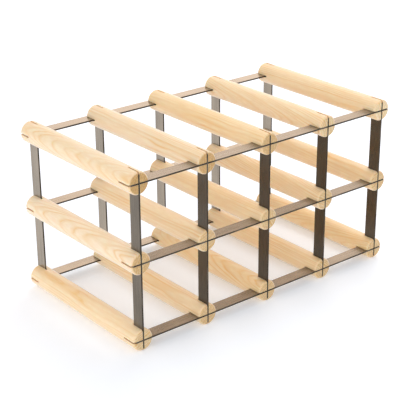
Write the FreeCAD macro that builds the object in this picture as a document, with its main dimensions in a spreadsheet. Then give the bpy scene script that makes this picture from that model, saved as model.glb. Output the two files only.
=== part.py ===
# Wine rack for eight bottles, in FreeCAD 1.1, millimetres.
#
# Fifteen round pine rails run from front to back, in three rows of five. Each end of a rail
# is sawn twice, once down and once across, and flat steel strips stand on edge in the saw
# cuts. Uprights tie the rows together, cross strips tie the columns together, and where two
# strips meet inside a rail end they are halved over each other. Nothing else holds the rack:
# the saw cuts grip the strips. A bottle lies on the front and the back cross strip of a cell.
#
# Frame: the origin is on the ground under the middle of the rack, +X runs along its width,
# -Y is the front and +Z is up. Columns are numbered from 1 at the low X end.

import FreeCAD, Part
import os
import Sketcher

COLUMNS = 5
ROWS = ("bottom", "middle", "top")
FACES = ("front", "back")
MIDDLE_COLUMN = (COLUMNS + 1) / 2
MIDDLE_ROW = (len(ROWS) - 1) / 2

# alias, millimetres, what it is
SIZES = (
    ("column_pitch", 98.0, "from one column of rails to the next"),
    ("row_pitch", 99.0, "from one row of rails to the next"),
    ("rail_length", 228.0, "a rail, from front end to back end, which is the rack's depth"),
    ("rail_diameter", 28.0, "a rail, across"),
    ("rail_chamfer", 2.5, "bevel round each end of a rail"),
    ("strip_width", 17.5, "a strip, on the flat"),
    ("strip_thickness", 2.0, "the steel"),
    ("strip_set_in", 3.0, "how far a strip's end stops inside the outer side of a rail"),
    ("kerf_clearance", 0.0, "a saw cut's width over the steel: none, so the wood grips the strip"),
    ("kerf_spare_depth", 2.5, "how much deeper a saw cut is than a strip is wide"),
    ("halving_side_clearance", 0.1, "each side of the strip that stands in a halving slot"),
    ("halving_end_clearance", 0.2, "between the ends of two slots that meet"),
    ("cut_overrun", 1.0, "how far a cut starts outside the surface that it opens"),
)

# Sizes that follow from the sheet, as expressions.
RAIL_RADIUS = "sizes.rail_diameter / 2"
KERF_WIDTH = "sizes.strip_thickness + sizes.kerf_clearance"
KERF_DEPTH = "sizes.strip_width + sizes.kerf_spare_depth"
SLOT_WIDTH = "sizes.strip_thickness + 2 * sizes.halving_side_clearance"
SLOT_DEPTH = "(sizes.strip_width + sizes.halving_end_clearance) / 2"
COLUMN_SPAN = f"{COLUMNS - 1} * sizes.column_pitch"
ROW_SPAN = f"{len(ROWS) - 1} * sizes.row_pitch"
STRIP_REACH = f"{RAIL_RADIUS} - sizes.strip_set_in"


def add_sizes(doc):
    """The sheet that every other object reads."""
    sheet = doc.addObject("Spreadsheet::Sheet", "sizes")
    for line, (alias, value, meaning) in enumerate(SIZES, start=1):
        sheet.set(f"A{line}", alias)
        sheet.set(f"B{line}", str(value))
        sheet.set(f"C{line}", meaning)
        sheet.setAlias(f"B{line}", alias)


def origin_feature(body, role):
    """One of the body's own origin planes or axes, such as XY_Plane or Z_Axis."""
    return next(item for item in body.Origin.OriginFeatures if item.Role == role)


def add_sketch(body, name, plane):
    sketch = body.newObject("Sketcher::SketchObject", name)
    sketch.AttachmentSupport = (origin_feature(body, plane), [""])
    sketch.MapMode = "FlatFace"
    return sketch


def add_rectangle(sketch, before, after, below, above):
    """A rectangle by how far each side lies from the sketch's origin, as four expressions.

    before and below count towards the low side, after and above towards the high side.
    """
    corners = [FreeCAD.Vector(x, y, 0) for x, y in ((-1, -1), (1, -1), (1, 1), (-1, 1))]
    for corner in range(4):
        sketch.addGeometry(Part.LineSegment(corners[corner], corners[(corner + 1) % 4]), False)
    for side in range(4):
        sketch.addConstraint(Sketcher.Constraint("Coincident", side, 2, (side + 1) % 4, 1))
        direction = "Horizontal" if side % 2 == 0 else "Vertical"
        sketch.addConstraint(Sketcher.Constraint(direction, side))
    origin = (-1, 1)
    distances = (
        ("before", "DistanceX", (0, 1), origin, before),
        ("after", "DistanceX", origin, (1, 2), after),
        ("below", "DistanceY", (0, 1), origin, below),
        ("above", "DistanceY", origin, (2, 2), above),
    )
    for name, kind, start, end, size in distances:
        index = sketch.addConstraint(Sketcher.Constraint(kind, *start, *end, 1.0))
        sketch.renameConstraint(index, name)
        sketch.setExpression(f"Constraints.{name}", size)


def add_pad(body, sketch, name, length):
    """A pad that grows as far to both sides of its sketch."""
    pad = body.newObject("PartDesign::Pad", name)
    pad.Profile = sketch
    pad.SideType = "Symmetric"
    pad.setExpression("Length", length)
    return pad


def add_pocket(body, sketch, name, length):
    """A pocket that cuts as far to both sides of its sketch."""
    pocket = body.newObject("PartDesign::Pocket", name)
    pocket.Profile = sketch
    pocket.SideType = "Symmetric"
    pocket.setExpression("Length", length)
    return pocket


def place(body, x, y, z, turn=0):
    """Stand a body at three expressions, turned about Z by a number of degrees."""
    body.Placement = FreeCAD.Placement(FreeCAD.Vector(), FreeCAD.Rotation(turn, 0, 0))
    body.setExpression("Placement.Base.x", x)
    body.setExpression("Placement.Base.y", y)
    body.setExpression("Placement.Base.z", z)


def column_x(column):
    return f"{column - MIDDLE_COLUMN} * sizes.column_pitch"


def row_z(row):
    return f"{RAIL_RADIUS} + {row} * sizes.row_pitch"


def face_y(face):
    return "-sizes.rail_length / 2" if face == "front" else "sizes.rail_length / 2"


def face_turn(face):
    """Strips are drawn for the front, and turned half round for the back."""
    return 0 if face == "front" else 180


def end_edges(shape):
    """The names of the two circles round the ends of a plain rail."""
    return [f"Edge{number}" for number, edge in enumerate(shape.Edges, start=1)
            if isinstance(edge.Curve, Part.Circle)]


def make_rail(doc, row, column):
    """A dowel along Y with bevelled ends, and a cross of two saw cuts in each end."""
    body = doc.addObject("PartDesign::Body", f"rail_{ROWS[row]}_{column}")

    section = add_sketch(body, "Section", "XZ_Plane")
    section.addGeometry(Part.Circle(FreeCAD.Vector(), FreeCAD.Vector(0, 0, 1), 10), False)
    section.addConstraint(Sketcher.Constraint("Coincident", 0, 3, -1, 1))
    diameter = section.addConstraint(Sketcher.Constraint("Diameter", 0, 20))
    section.renameConstraint(diameter, "diameter")
    section.setExpression("Constraints.diameter", "sizes.rail_diameter")
    dowel = add_pad(body, section, "Dowel", "sizes.rail_length")
    doc.recompute()

    bevel = body.newObject("PartDesign::Chamfer", "EndBevels")
    bevel.Base = (dowel, end_edges(dowel.Shape))
    bevel.setExpression("Size", "sizes.rail_chamfer")

    past_end = "sizes.rail_length / 2 + sizes.cut_overrun"
    cut_bottom = f"{KERF_DEPTH} - sizes.rail_length / 2"
    past_side = f"{RAIL_RADIUS} + sizes.cut_overrun"
    down = add_sketch(body, "KerfDown", "YZ_Plane")
    add_rectangle(down, past_end, cut_bottom, past_side, past_side)
    kerf_down = add_pocket(body, down, "CutDown", KERF_WIDTH)
    across = add_sketch(body, "KerfAcross", "XY_Plane")
    add_rectangle(across, past_side, past_side, past_end, cut_bottom)
    kerf_across = add_pocket(body, across, "CutAcross", KERF_WIDTH)

    back_end = body.newObject("PartDesign::Mirrored", "BackEnd")
    back_end.Originals = [kerf_down, kerf_across]
    back_end.MirrorPlane = (origin_feature(body, "XZ_Plane"), [""])
    body.Tip = back_end

    place(body, column_x(column), "0", row_z(row))
    return body


def add_halving_slots(body, plane, slot, axis, span, count):
    """One slot at the low end of a strip, repeated at every crossing along its axis."""
    sketch = add_sketch(body, "Slot", plane)
    add_rectangle(sketch, *slot)
    pocket = add_pocket(body, sketch, "HalvingSlot", "sizes.strip_thickness + sizes.cut_overrun")
    pattern = body.newObject("PartDesign::LinearPattern", "HalvingSlots")
    pattern.Originals = [pocket]
    pattern.Direction = (origin_feature(body, axis), [""])
    pattern.setExpression("Length", span)
    pattern.Occurrences = count
    body.Tip = pattern


def make_upright(doc, face, column):
    """A strip standing up, its outer edge at Y 0 and its halving slots in the inner edge."""
    body = doc.addObject("PartDesign::Body", f"{face}_upright_{column}")
    half_length = f"{ROW_SPAN} / 2 + {STRIP_REACH}"
    outline = add_sketch(body, "Outline", "YZ_Plane")
    add_rectangle(outline, "0", "sizes.strip_width", half_length, half_length)
    add_pad(body, outline, "Strip", "sizes.strip_thickness")
    slot = (
        f"{SLOT_DEPTH} - sizes.strip_width",
        "sizes.strip_width + sizes.cut_overrun",
        f"{ROW_SPAN} / 2 + ({SLOT_WIDTH}) / 2",
        f"({SLOT_WIDTH}) / 2 - {ROW_SPAN} / 2",
    )
    add_halving_slots(body, "YZ_Plane", slot, "Z_Axis", ROW_SPAN, len(ROWS))
    place(body, column_x(column), face_y(face), row_z(MIDDLE_ROW), face_turn(face))
    return body


def make_cross_strip(doc, face, row):
    """A strip lying along X, its outer edge at Y 0 and its halving slots in that edge."""
    body = doc.addObject("PartDesign::Body", f"{face}_cross_strip_{ROWS[row]}")
    half_length = f"{COLUMN_SPAN} / 2 + {STRIP_REACH}"
    outline = add_sketch(body, "Outline", "XY_Plane")
    add_rectangle(outline, half_length, half_length, "0", "sizes.strip_width")
    add_pad(body, outline, "Strip", "sizes.strip_thickness")
    slot = (
        f"{COLUMN_SPAN} / 2 + ({SLOT_WIDTH}) / 2",
        f"({SLOT_WIDTH}) / 2 - {COLUMN_SPAN} / 2",
        "sizes.cut_overrun",
        SLOT_DEPTH,
    )
    add_halving_slots(body, "XY_Plane", slot, "X_Axis", COLUMN_SPAN, COLUMNS)
    place(body, "0", face_y(face), row_z(row), face_turn(face))
    return body


def make_rack(doc):
    columns = range(1, COLUMNS + 1)
    rows = range(len(ROWS))
    rails = [make_rail(doc, row, column) for row in rows for column in columns]
    uprights = [make_upright(doc, face, column) for face in FACES for column in columns]
    cross_strips = [make_cross_strip(doc, face, row) for face in FACES for row in rows]
    return rails + uprights + cross_strips


def check(doc, bodies):
    """Stop if any object failed, or if a body is not one valid solid."""
    for item in doc.Objects:
        if "Invalid" in item.State or "Error" in item.State:
            raise RuntimeError(f"{item.Name} ({item.Label}) failed to recompute: {item.State}")
    for body in bodies:
        shape = body.Shape
        if shape.isNull() or not shape.isValid() or len(shape.Solids) != 1:
            raise RuntimeError(f"{body.Label} is not one valid solid")


def main():
    doc = FreeCAD.newDocument("wine_rack")
    add_sizes(doc)
    bodies = make_rack(doc)
    doc.recompute()
    check(doc, bodies)
    os.makedirs("parts", exist_ok=True)
    for body in bodies:
        body.Shape.exportStep(f"parts/{body.Label}.step")
        print(f"{body.Label}: {body.Shape.Volume:.1f} mm3")


main()
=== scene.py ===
# %% [markdown]
# # A wine rack of pine rails and flat steel strips
# The rack is a grid: round pine rails run from front to back, and flat steel strips, pressed into
# saw cuts in the ends of the rails, hold them apart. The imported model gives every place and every
# size, so these cells only have to make each piece look like the real wood or the real steel.
# Everything is in metres, with +X along the rack, -Y towards the front and +Z up.

import math
import random

import bpy
from mathutils import Euler, Matrix, Vector


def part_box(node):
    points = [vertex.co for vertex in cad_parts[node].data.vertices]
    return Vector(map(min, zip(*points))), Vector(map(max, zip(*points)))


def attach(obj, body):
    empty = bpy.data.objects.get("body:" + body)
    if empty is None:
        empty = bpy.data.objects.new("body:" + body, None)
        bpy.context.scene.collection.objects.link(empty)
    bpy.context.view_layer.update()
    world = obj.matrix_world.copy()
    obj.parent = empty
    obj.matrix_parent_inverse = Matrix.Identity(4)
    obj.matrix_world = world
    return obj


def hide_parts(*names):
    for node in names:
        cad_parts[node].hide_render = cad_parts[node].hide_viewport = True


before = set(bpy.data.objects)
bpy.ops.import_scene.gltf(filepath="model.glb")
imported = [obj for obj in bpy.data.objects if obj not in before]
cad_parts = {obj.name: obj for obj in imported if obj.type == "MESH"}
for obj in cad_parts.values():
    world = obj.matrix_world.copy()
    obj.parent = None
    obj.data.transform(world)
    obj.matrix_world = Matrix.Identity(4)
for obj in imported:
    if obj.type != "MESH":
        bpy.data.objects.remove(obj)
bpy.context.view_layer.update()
print("the packed model holds", len(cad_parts), "nodes")

# %% [markdown]
# ## Reading the sizes
# Rails, uprights and cross strips are told apart by their names. One of each is measured, and
# the sizes that the pieces share are worked out from those three boxes, so that nothing here can
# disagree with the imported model.

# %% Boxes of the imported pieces
MM = 0.001


def pieces_called(part):
    return sorted(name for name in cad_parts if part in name)


def size_of(node):
    low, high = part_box(node)
    return high - low


def centre_of(node):
    low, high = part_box(node)
    return (low + high) / 2


rails = pieces_called("rail_")
uprights = pieces_called("_upright_")
cross_strips = pieces_called("_cross_strip_")
print(len(rails), "rails,", len(uprights), "uprights and", len(cross_strips), "cross strips")

# %% Shared sizes
rail_length = size_of(rails[0]).y
rail_radius = size_of(rails[0]).x / 2
steel_thickness, strip_width, upright_length = size_of(uprights[0])
cross_length = size_of(cross_strips[0]).x
row_heights = sorted({round(centre_of(name).z, 5) for name in rails})
column_places = sorted({round(centre_of(name).x, 5) for name in rails})
middle_height = row_heights[len(row_heights) // 2]
print(f"a rail is {rail_radius * 2:.4f} across and {rail_length:.4f} long,"
      f" and a strip is {strip_width:.4f} by {steel_thickness:.4f}")

# %% [markdown]
# ## Working by hand, in code
# Blender's operators act on whatever is selected and active, so each step first clears the
# selection and picks one thing. In edit mode the edges are picked by where their two ends lie,
# which is what a hand would do with a click.

# %% Pick a piece, or some of its edges


def only(piece):
    """Make one piece the whole selection."""
    bpy.ops.object.select_all(action="DESELECT")
    piece.select_set(True)
    bpy.context.view_layer.objects.active = piece
    return piece


def settle(piece):
    """Put a piece's place, turn and scale into its mesh, so that it sits at the origin."""
    only(piece)
    bpy.ops.object.transform_apply(location=True, rotation=True, scale=True)
    return piece


def open_on_edges(piece, is_wanted):
    """Open edit mode with those edges selected whose two ends pass the test."""
    only(piece)
    bpy.ops.object.mode_set(mode="EDIT")
    bpy.ops.mesh.select_mode(type="EDGE")
    bpy.ops.mesh.select_all(action="DESELECT")
    bpy.ops.object.mode_set(mode="OBJECT")
    mesh = piece.data
    for edge in mesh.edges:
        start, end = (mesh.vertices[index].co for index in edge.vertices)
        edge.select = is_wanted(start, end)
    bpy.ops.object.mode_set(mode="EDIT")


bpy.ops.object.select_all(action="DESELECT")
print("pieces still selected:", len(bpy.context.selected_objects))

# %% [markdown]
# ## Turning one rail
# A rail is a dowel, cut to length, with a small rounded chamfer on each end. It could be spun
# from a profile, but a cylinder laid along Y with its two rims bevelled in edit mode is the same
# shape in two steps, and its facets stay even. The bevel's profile is a little flatter than a
# true round, as a chamfer is after sanding.

# %% Turn the dowel
RAIL_SIDES = 96
CHAMFER = 2.5 * MM
CHAMFER_STEPS = 6
CHAMFER_PROFILE = 0.36


def is_on_a_rim(start, end):
    """Whether an edge belongs to the circle round one end of the plain cylinder."""
    almost_the_end = rail_length / 2 - CHAMFER / 2
    return start.y * end.y > 0 and min(abs(start.y), abs(end.y)) > almost_the_end


bpy.ops.mesh.primitive_cylinder_add(vertices=RAIL_SIDES, radius=rail_radius, depth=rail_length,
                                    rotation=(math.pi / 2, 0, 0))
rail = settle(bpy.context.object)
rail.name = "rail_pattern"
open_on_edges(rail, is_on_a_rim)
bpy.ops.mesh.bevel(offset=CHAMFER, segments=CHAMFER_STEPS, profile=CHAMFER_PROFILE)
bpy.ops.object.mode_set(mode="OBJECT")
print("the dowel has", len(rail.data.polygons), "faces")

# %% [markdown]
# ## Building a finish
# A finish is a material whose nodes are laid out one after another. Each call below adds one
# node and returns its output, so that a line of code reads like a line of a recipe: this noise,
# stretched along the grain, blends that colour into this one.

# %% A finish and its nodes


class Finish:
    """A material that is built up node by node."""

    def __init__(self, name):
        self.material = bpy.data.materials.new(name)
        self.material.use_nodes = True
        self.tree = self.material.node_tree
        self.shader = self.tree.nodes["Principled BSDF"]

    def feed(self, socket, value):
        """Link an output to a socket, or set the socket's own number or colour."""
        if isinstance(value, bpy.types.NodeSocket):
            self.tree.links.new(value, socket)
        elif socket.type == "RGBA":
            socket.default_value = (*value, 1.0)
        else:
            socket.default_value = value

    def add(self, kind, inputs, output=0, **settings):
        """Add a node, set it up, feed its sockets and return one of its outputs."""
        node = self.tree.nodes.new("ShaderNode" + kind)
        for name, value in settings.items():
            setattr(node, name, value)
        for name, value in inputs.items():
            self.feed(node.inputs[name], value)
        return node.outputs[output]

    def shade(self, **values):
        """Feed the shader's own sockets, whose names have _ here where they have a space."""
        for name, value in values.items():
            self.feed(self.shader.inputs[name.replace("_", " ")], value)


print("a finish can feed a socket, add a node and shade a surface")

# %% Patterns and sums
MIX_AMOUNT, MIX_FIRST, MIX_SECOND, MIX_COLOUR = 0, 6, 7, 2


def noise(finish, place, scale, along=1.0, detail=2.0, roughness=0.5):
    """Noise with about scale features a metre, or along times as many in the Y direction."""
    if along != 1.0:
        place = finish.add("Mapping", {"Vector": place, "Scale": (1.0, along, 1.0)})
    return finish.add("TexNoise", {"Vector": place, "Scale": scale, "Detail": detail,
                                   "Roughness": roughness})


def between(finish, value, low, high, start=0.0, end=1.0, smooth=False):
    """Spread the values from low to high over start to end, and hold them beyond."""
    return finish.add("MapRange", {"Value": value, "From Min": low, "From Max": high,
                                   "To Min": start, "To Max": end},
                      interpolation_type="SMOOTHSTEP" if smooth else "LINEAR")


def blend(finish, amount, first, second, kind="MIX"):
    return finish.add("Mix", {MIX_AMOUNT: amount, MIX_FIRST: first, MIX_SECOND: second},
                      MIX_COLOUR, data_type="RGBA", blend_type=kind)


def work_out(finish, operation, first, second=0.0):
    return finish.add("Math", {0: first, 1: second}, operation=operation)


print("noise, ranges, blends and sums are ready")

# %% [markdown]
# ## Pine
# Wood is solid, and so is its figure. Growth rings are cylinders round the pith of the tree, and
# what shows on a dowel is where its surface cuts through them. So each rail carries an attribute,
# log_place, that says where in the log each of its points grew: X and Z across the log from the
# pith, and Y along it. Stripes painted along the rail would be simpler, but only rings give
# flames on the sides and arcs on the ends that belong together.

# %% How far from the pith
RING_WIDTH = 2.9 * MM
WANDER = 6.0 * MM
SLOW_WANDER = {"scale": 55.0, "along": 0.16, "detail": 3.0}


def distance_from_pith(finish, log):
    """How far off the pith a point grew, with the slow wander of a real tree."""
    parts = finish.add("SeparateXYZ", {0: log}).node.outputs
    squares = [work_out(finish, "MULTIPLY", part, part) for part in (parts["X"], parts["Z"])]
    straight = work_out(finish, "SQRT", work_out(finish, "ADD", *squares))
    slow = work_out(finish, "SUBTRACT", noise(finish, log, **SLOW_WANDER), 0.5)
    return work_out(finish, "ADD", straight, work_out(finish, "MULTIPLY", slow, WANDER))


print("rings of", round(RING_WIDTH / MM, 1), "mm wander by up to", WANDER / 2 / MM, "mm")

# %% [markdown]
# Each year starts pale and soft and ends in a thin dark line. Good years are wide and well
# marked, and poor ones are narrow and faint. A range of four numbers, here and below, is low,
# high, start and end: as a pattern goes from low to high, the result goes from start to end.
# Where only low and high are given, it goes from 0 to 1.

# %% Growth rings
EARLYWOOD = (0.89, 0.71, 0.475)
MIDWOOD = (0.84, 0.61, 0.350)
LATEWOOD = (0.80, 0.48, 0.17)
ONE_YEAR = ((0.0, MIDWOOD), (0.14, EARLYWOOD), (0.55, EARLYWOOD), (0.83, LATEWOOD),
            (0.93, MIDWOOD))
GOOD_YEARS = {"scale": 0.45}
YEARS_GAINED = 3.0
PATCHES = {"scale": 28.0, "along": 0.4, "detail": 1.0}
PATCH_STRENGTH = (0.35, 0.65, 0.55, 1.35)


def ramp(finish, value, stops):
    colour = finish.add("ValToRGB", {0: value})
    elements = colour.node.color_ramp.elements
    while len(elements) < len(stops):
        elements.new(0.5)
    for element, (position, shade) in zip(elements, stops):
        element.position = position
        element.color = (*shade, 1.0)
    return colour


def growth_rings(finish, log):
    """The colour of the rings, and how strongly each one is marked."""
    years = work_out(finish, "DIVIDE", distance_from_pith(finish, log), RING_WIDTH)
    good_years = noise(finish, finish.add("CombineXYZ", {"X": years}), **GOOD_YEARS)
    gained = work_out(finish, "MULTIPLY", good_years, YEARS_GAINED)
    season = work_out(finish, "FRACT", work_out(finish, "ADD", years, gained))
    patches = between(finish, noise(finish, log, **PATCHES), *PATCH_STRENGTH)
    return ramp(finish, season, ONE_YEAR), work_out(finish, "MULTIPLY", good_years, patches)


print("a year has", len(ONE_YEAR), "shades")

# %% [markdown]
# A sanded side shows the rings softly, and over them lie long faint streaks, short flecks and
# fine fibres: three noises, each drawn out along the grain by a different amount, because one
# alone looks like brushed paint. Pine from different trees runs from pale to honey, so a second
# attribute, tone, gives each rail its own shade.

# %% The sides of a rail
PALE = (1.025, 1.06, 1.18)
HONEY = (1.07, 1.0, 0.84)
STREAKS = {"scale": 190.0, "along": 0.07, "detail": 3.0}
FLECKS = {"scale": 330.0, "along": 0.2, "detail": 2.0}
FADE = (0.22, 0.62, 0.75, 0.0)
STREAK_DEPTH = (0.45, 0.72, 0.0, 0.7)
FLECK_DEPTH = (0.42, 0.7, 0.0, 0.6)
FIBRE_DEPTH = (0.40, 0.75, 0.0, 0.20)


def side_colour(finish, log, ring, strength, fibres):
    faded = blend(finish, between(finish, strength, *FADE), ring, EARLYWOOD)
    streaks = between(finish, noise(finish, log, **STREAKS), *STREAK_DEPTH)
    streaked = blend(finish, streaks, faded, MIDWOOD)
    flecks = between(finish, noise(finish, log, **FLECKS), *FLECK_DEPTH)
    flecked = blend(finish, flecks, streaked, MIDWOOD)
    fibred = blend(finish, between(finish, fibres, *FIBRE_DEPTH), flecked, LATEWOOD)
    tone = finish.add("Attribute", {}, "Fac", attribute_name="tone")
    return blend(finish, 1.0, fibred, blend(finish, tone, PALE, HONEY), "MULTIPLY")


print("a pale rail is", round(PALE[2] / HONEY[2], 2), "times as blue as a honey one")

# %% [markdown]
# Where the saw crossed the grain, the open ends of the fibres drink in light. The flat end is
# darker and speckled with pores, and the chamfer lies between the two. Both are found from the
# way the surface faces, because the ends of a rail always face along Y. The ends differ more
# from rail to rail than the sides do, so a third attribute, end_tone, runs from a cream end with
# faint speckles, at 0, to a deep honey one with strong speckles, at 1.

# %% The ends of a rail
END_PALE = (1.02, 1.02, 0.99)
END_DARK = (0.77, 0.63, 0.40)
PORE_SHADE = (0.37, 0.20, 0.06)
LEAST_SPECKLED, MOST_SPECKLED = 0.15, 0.5
MOTTLE_FROM, MOTTLE_TO = 0.38, 0.62
PORES_FROM, PORES_TO = 0.45, 0.7


def facing_along(finish):
    """1 where the surface faces along Y, and 0 where it faces sideways."""
    normal = finish.add("TexCoord", {}, "Normal")
    return work_out(finish, "ABSOLUTE", finish.add("SeparateXYZ", {0: normal}, "Y"))


def end_colour(finish, ring, pores, mottle):
    tone = finish.add("Attribute", {}, "Fac", attribute_name="end_tone")
    tinted = blend(finish, 1.0, ring, blend(finish, tone, END_PALE, END_DARK), "MULTIPLY")
    depth = between(finish, tone, 0.0, 1.0, LEAST_SPECKLED, MOST_SPECKLED)
    mottled = blend(finish, between(finish, mottle, MOTTLE_FROM, MOTTLE_TO, 0.0, depth),
                    tinted, PORE_SHADE)
    return blend(finish, between(finish, pores, PORES_FROM, PORES_TO, 0.0, depth),
                 mottled, PORE_SHADE)


print("the darkest ends keep", round(sum(END_DARK) / 3, 2), "of the light of their rings")

# %% [markdown]
# The sides have a soft satin shine. Its sheen is the down of sanded fibres, which brightens the
# wood where it is seen edge on, and a little light goes in and comes out again warmer. Walls
# left by a saw are never sanded, so they are a rough, warmer wood all over.

# %% Sanded pine and sawn pine
FIBRES = {"scale": 1100.0, "along": 0.02, "detail": 3.0, "roughness": 0.6}
PORES = {"scale": 1500.0, "detail": 3.0, "roughness": 0.7}
MOTTLE = {"scale": 520.0, "roughness": 0.6}
SAWN_TINT = (0.88, 0.58, 0.30)
SAWN_DEPTH = (0.3, 0.7, 0.4, 0.9)
CHAMFER_FACING = (0.2, 0.5, 0.0, 0.45)
END_FACING = (0.62, 0.96)
PINE_ROUGHNESS = (0.3, 0.7, 0.40, 0.54)
END_ROUGHER = 0.25
FIBRE_HEIGHT = 0.6
OPEN_GRAIN_HEIGHT = 1.2
PINE_BUMP = 0.18 * MM


def pine_finish(name, is_sawn):
    finish = Finish(name)
    log = finish.add("Attribute", {}, "Vector", attribute_name="log_place")
    fibres, pores, mottle = (noise(finish, log, **kind) for kind in (FIBRES, PORES, MOTTLE))
    facing = facing_along(finish)
    chamfer = between(finish, facing, *CHAMFER_FACING, smooth=True)
    end_grain = between(finish, facing, *END_FACING, smooth=True)

    ring, strength = growth_rings(finish, log)
    colour = side_colour(finish, log, ring, strength, fibres)
    if is_sawn:
        colour = blend(finish, between(finish, pores, *SAWN_DEPTH), colour, SAWN_TINT)
    else:
        colour = blend(finish, end_grain, blend(finish, chamfer, colour, MIDWOOD),
                       end_colour(finish, ring, pores, mottle))

    rough = work_out(finish, "ADD", between(finish, fibres, *PINE_ROUGHNESS),
                     work_out(finish, "MULTIPLY", end_grain, END_ROUGHER))
    open_grain = work_out(finish, "MULTIPLY", work_out(finish, "ADD", pores, mottle),
                          work_out(finish, "MULTIPLY", end_grain, OPEN_GRAIN_HEIGHT))
    fibre_height = work_out(finish, "MULTIPLY", fibres, FIBRE_HEIGHT)
    height = work_out(finish, "ADD", fibre_height, open_grain)
    bump = finish.add("Bump", {"Height": height, "Strength": 0.4, "Distance": PINE_BUMP})
    finish.shade(Base_Color=colour, Roughness=rough, Normal=bump, Specular_IOR_Level=0.5,
                 Sheen_Weight=0.9, Sheen_Roughness=0.35, Subsurface_Weight=0.25,
                 Subsurface_Radius=(1.0, 0.55, 0.25), Subsurface_Scale=3 * MM)
    return finish.material


sanded_pine = pine_finish("sanded_pine", False)
sawn_pine = pine_finish("sawn_pine", True)
print("made", sanded_pine.name, "and", sawn_pine.name)

# %% [markdown]
# ## Sawing the ends
# Each end of a rail has two saw cuts that cross: one down, for the upright, and one across, for
# the cross strip. They could be drawn as creases, but a real slot shows its own walls, so thin
# blades are cut out of the dowel as a saw would cut them. A blade has a material of its own, and
# the walls that it leaves take it, which is how the slots come to be rough sawn wood. The wood
# grips the steel, but two surfaces in one place would flicker, so a hair's gap is left between.

# %% Blades
OVERRUN = 2 * MM


def add_block(name, low, high):
    """A plain block between two corners, to cut with or to shape further."""
    bpy.ops.mesh.primitive_cube_add(size=1, location=(Vector(low) + Vector(high)) / 2)
    block = bpy.context.object
    block.name = name
    block.scale = Vector(high) - Vector(low)
    return settle(block)


def apply_modifier(piece, kind, **settings):
    """Add a modifier, set it up and apply it at once."""
    only(piece)
    modifier = piece.modifiers.new(kind.title(), kind)
    for name, value in settings.items():
        setattr(modifier, name, value)
    bpy.ops.object.modifier_apply(modifier=modifier.name)


def cut(piece, blades):
    """Cut all the blades out of a piece in one go, and throw them away."""
    blade = only(blades[0])
    for other in blades[1:]:
        other.select_set(True)
    bpy.ops.object.join()
    apply_modifier(piece, "BOOLEAN", object=blade, operation="DIFFERENCE", solver="EXACT",
                   use_self=True)
    bpy.data.objects.remove(blade)


print("a blade runs", OVERRUN / MM, "mm past the wood")

# %% Saw both ends
KERF_GAP = 0.06 * MM
KERF_SPARE_DEPTH = 2.5 * MM
KERF_DEPTH = strip_width + KERF_SPARE_DEPTH
half_kerf = steel_thickness / 2 + KERF_GAP
reach = rail_radius + OVERRUN

blades = []
for end in (-1, 1):
    near, far = sorted((end * (rail_length / 2 - KERF_DEPTH), end * (rail_length / 2 + OVERRUN)))
    for half_x, half_z in ((half_kerf, reach), (reach, half_kerf)):
        blades.append(add_block("blade", (-half_x, near, -half_z), (half_x, far, half_z)))
for blade in blades:
    blade.data.materials.append(sawn_pine)
rail.data.materials.append(sanded_pine)
rail.data.materials.append(sawn_pine)
cut(rail, blades)
print("the cuts are", round(KERF_DEPTH / MM, 1), "mm deep")

# %% [markdown]
# Every sharp edge is eased by a hair, because a real one is never quite sharp and catches a thin
# line of light. Smooth shading would then bend the light on the flat ends as well; weighting the
# normals by the size of each face keeps the flats flat and only the curves round.

# %% Ease the edges and shade the curves
SAWN_EDGE = 0.12 * MM


def ease_edges(piece, width, steps, sharper_than):
    apply_modifier(piece, "BEVEL", width=width, segments=steps, limit_method="ANGLE",
                   angle_limit=math.radians(sharper_than))


def shade_curves(piece, up_to):
    only(piece)
    bpy.ops.object.shade_smooth_by_angle(angle=math.radians(up_to))
    apply_modifier(piece, "WEIGHTED_NORMAL", mode="FACE_AREA", weight=100, keep_sharp=True)


ease_edges(rail, SAWN_EDGE, 1, sharper_than=50)
shade_curves(rail, up_to=35)
print("a sawn rail has", len(rail.data.polygons), "faces")

# %% [markdown]
# ## Fifteen rails from different logs
# Each rail gets its own place in a log: which of its sides faced the bark, how far off the pith
# was, and how much the rail slants to it. The slant makes the flames, because a slanted dowel
# crosses one ring after another. Most rails run almost along the grain and show faint straight
# lines. A few are flamed, and their flames are on the side that faced the bark. The draws are
# seeded, so the rack is the same every time. Angles are in degrees here, distances from the pith
# in millimetres, and the log is given in metres.

# %% Places in the log
grain = random.Random(7)
FLAMES_FACE = {"rail_top_1": 150, "rail_middle_1": 158, "rail_bottom_3": 120,
               "rail_middle_4": 60, "rail_top_4": 20, "rail_bottom_5": 200}
FLAMED_SLANT, PLAIN_SLANT = (5.5, 7.5), (0.3, 1.5)
FLAMED_DISTANCE, PLAIN_DISTANCE = (45, 70), (60, 150)
LOG_LENGTH = 6


def write_places(piece, name, numbers):
    piece.data.attributes.new(name, "FLOAT_VECTOR", "POINT").data.foreach_set("vector", numbers)


def write_log_place(piece, node):
    """Write where in its log each point of a rail grew: across, along and up from the pith."""
    is_flamed = node in FLAMES_FACE
    bark_side = math.radians(FLAMES_FACE[node] if is_flamed else grain.uniform(0, 360))
    slant = math.radians(grain.uniform(*(FLAMED_SLANT if is_flamed else PLAIN_SLANT)))
    pith_distance = grain.uniform(*(FLAMED_DISTANCE if is_flamed else PLAIN_DISTANCE)) * MM
    start = grain.uniform(0, LOG_LENGTH)
    centre = centre_of(node)
    grown = []
    for vertex in piece.data.vertices:
        place = vertex.co - centre
        off = pith_distance - place.y * math.tan(slant)
        grown += [place.x + off * math.cos(bark_side), place.y + start,
                  place.z + off * math.sin(bark_side)]
    write_places(piece, "log_place", grown)


print(len(FLAMES_FACE), "of the", len(rails), "rails are flamed")

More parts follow.
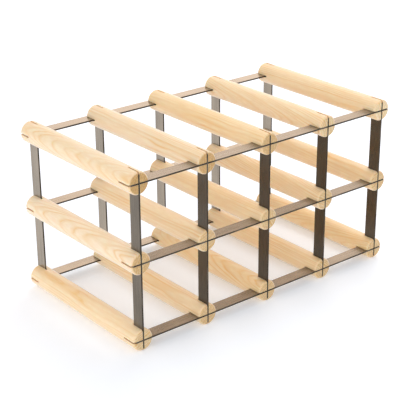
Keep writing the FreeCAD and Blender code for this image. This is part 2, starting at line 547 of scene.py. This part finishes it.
# %% Cut the fifteen
TONE = {"rail_top_1": 0.3, "rail_top_2": 0.25, "rail_top_3": 0.75, "rail_top_4": 0.45,
        "rail_top_5": 0.5, "rail_middle_1": 0.1, "rail_bottom_1": 0.5}
END_TONE = {"rail_top_1": 1.0, "rail_top_2": 0.85, "rail_top_3": 0.7, "rail_top_4": 0.3,
            "rail_top_5": 0.0, "rail_middle_1": 0.7, "rail_bottom_1": 0.35}
USUAL_TONES = (0.2, 0.8)
USUAL_END_TONE = 0.5


def copy_of(pattern, name):
    """A copy with a mesh of its own."""
    piece = pattern.copy()
    piece.data = pattern.data.copy()
    piece.name = name
    piece.data.name = name
    bpy.context.scene.collection.objects.link(piece)
    return piece


def write_tone(piece, tone, name="tone"):
    tones = [tone] * len(piece.data.vertices)
    piece.data.attributes.new(name, "FLOAT", "POINT").data.foreach_set("value", tones)


def stand_for(piece, node):
    """Let a finished piece stand for its node, on the rack's one body."""
    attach(piece, "root")
    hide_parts(node)


for node in rails:
    piece = copy_of(rail, "pine_" + node)
    piece.location = centre_of(node)
    settle(piece)
    write_log_place(piece, node)
    write_tone(piece, TONE.get(node, grain.uniform(*USUAL_TONES)))
    write_tone(piece, END_TONE.get(node, USUAL_END_TONE), "end_tone")
    stand_for(piece, node)
bpy.data.objects.remove(rail)
print("cut", len(rails), "rails")

# %% [markdown]
# ## Steel strips
# The strips are slit from a coil of flat steel and cropped to length. Where an upright meets a
# cross strip, inside the end of a rail, each gives up half of its width: the upright is slotted
# from its inner edge and the cross strip from its outer edge, and the two slide together. So a
# strip starts as a block of its own size, its four corners are rounded in edit mode, and the
# slots are cut as the saw cuts were.

# %% Shape a strip
CORNER = 0.8 * MM
CORNER_STEPS = 3
HALVING_GAP = 0.1 * MM
SLIT_ROUND = 0.22 * MM
INNER, OUTER = 1, -1


def is_a_corner(start, end):
    return abs(start.z - end.z) > steel_thickness / 2


def shape_strip(name, length, crossings, slotted_edge):
    """A strip that lies along X, with its inner edge at high Y and a slot at each crossing."""
    half = Vector((length, strip_width, steel_thickness)) / 2
    strip = add_block(name, -half, half)
    open_on_edges(strip, is_a_corner)
    bpy.ops.mesh.bevel(offset=CORNER, segments=CORNER_STEPS, profile=0.5)
    bpy.ops.object.mode_set(mode="OBJECT")

    half_slot = steel_thickness / 2 + HALVING_GAP
    low, high = sorted((-slotted_edge * HALVING_GAP, slotted_edge * (half.y + OVERRUN)))
    cut(strip, [add_block("blade", (x - half_slot, low, -half.z - OVERRUN),
                          (x + half_slot, high, half.z + OVERRUN)) for x in crossings])
    ease_edges(strip, SLIT_ROUND, 2, sharper_than=40)
    shade_curves(strip, up_to=50)
    return strip


rows_from_middle = [height - middle_height for height in row_heights]
upright = shape_strip("upright_pattern", upright_length, rows_from_middle, INNER)
cross_strip = shape_strip("cross_strip_pattern", cross_length, column_places, OUTER)
print("an upright has", len(rows_from_middle), "slots and a cross strip has", len(column_places))

# %% [markdown]
# ## The finish of the steel
# Cold rolled steel is a dark, warm grey mirror that is not quite clear. The rolls leave fine
# lines along the strip, and handling leaves faint clouds. The slit edges were never rolled, so
# they are dull. The strips are coloured nearly black along them. The pattern has to know which
# way a strip runs, so each strip carries an attribute, strip_place, with X across it, Y along it
# and Z through it.

# %% Faces and slit edges
STEEL_WARM = (0.372, 0.312, 0.244)
STEEL_COOL = (0.285, 0.241, 0.190)
STEEL_LINE = (0.44, 0.376, 0.30)
# The dark colour of a painted reflection of bottles, blended into the faces of the front strips.
PAINTED_REFLECTION_DARK = (0.050, 0.042, 0.032)
SLIT_EDGE = (0.060, 0.050, 0.040)
RUBBED = {"scale": 240.0, "along": 0.15, "detail": 3.0}
CLOUD_DEPTH = (0.35, 0.65)
LINE_DEPTH = (0.4, 0.7, 0.0, 0.6)
RUBBED_DEPTH = (0.5, 0.66, 0.0, 0.35)


def face_colour(finish, lines, cloud):
    clouded = blend(finish, between(finish, cloud, *CLOUD_DEPTH), STEEL_COOL, STEEL_WARM)
    lined = blend(finish, between(finish, lines, *LINE_DEPTH), clouded, STEEL_LINE)
    # On the steel, the tone attribute sets how far a painted reflection of dark bottles darkens the
    # faces.
    tone = finish.add("Attribute", {}, "Fac", attribute_name="tone")
    return blend(finish, tone, lined, PAINTED_REFLECTION_DARK)


def edge_colour(finish, place):
    rubbed = between(finish, noise(finish, place, **RUBBED), *RUBBED_DEPTH, smooth=True)
    return blend(finish, rubbed, SLIT_EDGE, STEEL_COOL)


print("the edges are", round(sum(STEEL_WARM) / sum(SLIT_EDGE), 1), "times darker than the faces")

# %% Rolled steel
LINES = {"scale": 950.0, "along": 0.004, "detail": 3.0, "roughness": 0.6}
SCRATCHES = {"scale": 3200.0, "along": 0.012}
CLOUD = {"scale": 55.0, "along": 0.35, "detail": 3.0}
GRIT = {"scale": 1600.0}
SLIT_FROM, SLIT_TO = strip_width / 2 - 0.30 * MM, strip_width / 2 - 0.12 * MM
SCRATCH_ROUGHNESS = (0.3, 0.7, 0.20, 0.30)
CLOUD_ROUGHNESS = (0.3, 0.7, 0.0, 0.07)
SLIT_ROUGHER = 0.2
SCRATCH_HEIGHT, GRIT_HEIGHT = 0.4, 0.3
STEEL_BUMP = 0.05 * MM


def steel_finish(name):
    finish = Finish(name)
    place = finish.add("Attribute", {}, "Vector", attribute_name="strip_place")
    lines, scratches, cloud, grit = (noise(finish, place, **kind)
                                     for kind in (LINES, SCRATCHES, CLOUD, GRIT))
    across = work_out(finish, "ABSOLUTE", finish.add("SeparateXYZ", {0: place}, "X"))
    slit = between(finish, across, SLIT_FROM, SLIT_TO)
    colour = blend(finish, slit, face_colour(finish, lines, cloud), edge_colour(finish, place))

    rough = work_out(finish, "ADD", between(finish, scratches, *SCRATCH_ROUGHNESS),
                     between(finish, cloud, *CLOUD_ROUGHNESS))
    rough = work_out(finish, "ADD", rough, work_out(finish, "MULTIPLY", slit, SLIT_ROUGHER))
    deep_scratches = work_out(finish, "MULTIPLY", scratches, SCRATCH_HEIGHT)
    height = work_out(finish, "ADD", lines, deep_scratches)
    height = work_out(finish, "ADD", height, work_out(finish, "MULTIPLY", grit, GRIT_HEIGHT))
    bump = finish.add("Bump", {"Height": height, "Strength": 0.25, "Distance": STEEL_BUMP})
    finish.shade(Base_Color=colour, Roughness=rough, Normal=bump, Metallic=1.0)
    return finish.material


rolled_steel = steel_finish("dark_rolled_steel")
for pattern in (upright, cross_strip):
    pattern.data.materials.append(rolled_steel)
print("made", rolled_steel.name)

# %% [markdown]
# ## Pressing in the strips
# Front and back strips are the same part turned half round, so that the slotted edges of the
# uprights always face the middle of the rack. A strip's pattern is written while it still lies
# along X, and only then is it stood up and moved, so that the rolling lines stay with the steel.
# All the strips are the same steel, and in an empty rack they would look alike. In use, the
# uprights at the front stand between dark bottles and mirror them, so a painted reflection of the
# bottles darkens their colour, less on the first one, at the open side. The front cross strips
# take a lighter painted reflection, and each strip's share of it varies a little at random.

# %% Place the sixteen strips
# How strongly each strip's faces take the painted reflection of dark bottles.
STRIP_PAINTED_REFLECTION = {"front_upright": 0.86, "front_upright_1": 0.58, "back_upright": 0.05,
              "front_cross_strip": 0.32, "back_cross_strip": 0.05}
TONE_SPREAD = 0.04
COIL_LENGTH = 5


def write_strip_place(strip):
    """Write where on its strip each point lies, each strip from another part of the coil."""
    start = grain.uniform(0, COIL_LENGTH)
    write_places(strip, "strip_place", [number for vertex in strip.data.vertices for number
                                        in (vertex.co.y, vertex.co.x + start, vertex.co.z)])


def place_strips(pattern, nodes, tilt):
    for node in nodes:
        strip = copy_of(pattern, "steel_" + node)
        write_strip_place(strip)
        # The tone here is the strip's share of painted reflection, with a little random spread.
        tone = STRIP_PAINTED_REFLECTION.get(node, STRIP_PAINTED_REFLECTION.get(node.rsplit("_", 1)[0]))
        write_tone(strip, tone + grain.uniform(-TONE_SPREAD, TONE_SPREAD))
        turn = 0.0 if node.startswith("front") else math.pi
        strip.matrix_world = (Matrix.Translation(centre_of(node)) @ Matrix.Rotation(turn, 4, "Z")
                              @ Matrix.Rotation(tilt, 4, "Y"))
        settle(strip)
        stand_for(strip, node)
    bpy.data.objects.remove(pattern)
    print("placed", len(nodes), "strips, from", nodes[0], "to", nodes[-1])


place_strips(upright, uprights, tilt=-math.pi / 2)
place_strips(cross_strip, cross_strips, tilt=0.0)

# %% [markdown]
# ## The studio
# The rack stands on a pale floor in a white room. The floor glows very slightly, like the sheet
# of a light table, so that it stays white and fills in the undersides.

# %% Floor
FLOOR_SIZE = 14.0
DAYLIGHT = (0.88, 0.94, 1.0)
bpy.ops.object.select_all(action="DESELECT")
bpy.ops.mesh.primitive_plane_add(size=FLOOR_SIZE)
floor = bpy.context.object
floor.name = "studio_floor"
pale_floor = Finish("pale_floor")
pale_floor.shade(Base_Color=(0.86, 0.88, 0.93), Roughness=0.7,
                 Emission_Color=DAYLIGHT, Emission_Strength=0.24)
floor.data.materials.append(pale_floor.material)
print("the floor is", FLOOR_SIZE, "m across")

# %% [markdown]
# Rolled steel mirrors whatever stands round it, so the lights are placed for their reflections
# as much as for their light. A warm softbox behind the rack is what the tops of the cross strips
# mirror, two on the left brighten the sides of the rails, and a weak one overhead gives the soft
# shadows.

# %% Light
WARM_LIGHT = (1.0, 0.79, 0.63)
WHITE_LIGHT = (1.0, 1.0, 1.0)


def add_softbox(name, place, size, power, colour=WHITE_LIGHT):
    """A round softbox that looks at the middle of the rack."""
    bpy.ops.object.light_add(type="AREA", location=place)
    lamp = bpy.context.object
    lamp.name = name
    lamp.data.shape = "DISK"
    lamp.data.size = size
    lamp.data.energy = power
    lamp.data.color = colour
    aim = Vector((0, 0, middle_height)) - Vector(place)
    lamp.rotation_euler = aim.to_track_quat("-Z", "Y").to_euler()


add_softbox("overhead", (0.9, 0.3, 1.6), size=1.4, power=10.5)
add_softbox("left_front", (-3.5, -2.2, 1.5), size=3.2, power=50, colour=DAYLIGHT)
add_softbox("left_low", (-2.6, 0.2, 0.35), size=1.2, power=7, colour=DAYLIGHT)
add_softbox("behind", (1.5, 1.8, 1.25), size=2.2, power=14, colour=WARM_LIGHT)
print("softboxes:", len(bpy.data.lights))

# %% The white room
ROOM_BRIGHTNESS = 0.70
world = bpy.data.worlds.new("white_room")
world.use_nodes = True
backdrop = world.node_tree.nodes["Background"]
backdrop.inputs["Color"].default_value = (*WHITE_LIGHT, 1.0)
backdrop.inputs["Strength"].default_value = ROOM_BRIGHTNESS
bpy.context.scene.world = world
bpy.context.scene.view_settings.view_transform = "Standard"
print("the room's brightness is", ROOM_BRIGHTNESS)

# %% [markdown]
# ## The camera
# It stands to the left of the front and looks down at the rack through a long lens, so that the
# rails stay almost parallel. Its place is given by what it looks at, two angles and a distance.

# %% Camera
AIM = Vector((-0.0035, 0.0, 0.092))
AZIMUTH, ELEVATION, ROLL = (math.radians(angle) for angle in (-39.5, 23.3, -0.235))
DISTANCE = 1.549
LENS = 102.4

turn = (Euler((math.pi / 2 - ELEVATION, 0, AZIMUTH)).to_matrix()
        @ Matrix.Rotation(ROLL, 3, "Z"))
bpy.ops.object.camera_add(location=AIM + turn @ Vector((0, 0, DISTANCE)),
                          rotation=turn.to_euler())
camera = bpy.context.object
camera.name = "camera"
camera.data.lens = LENS
bpy.context.scene.camera = camera
print("the camera stands at", [round(value, 3) for value in camera.location])
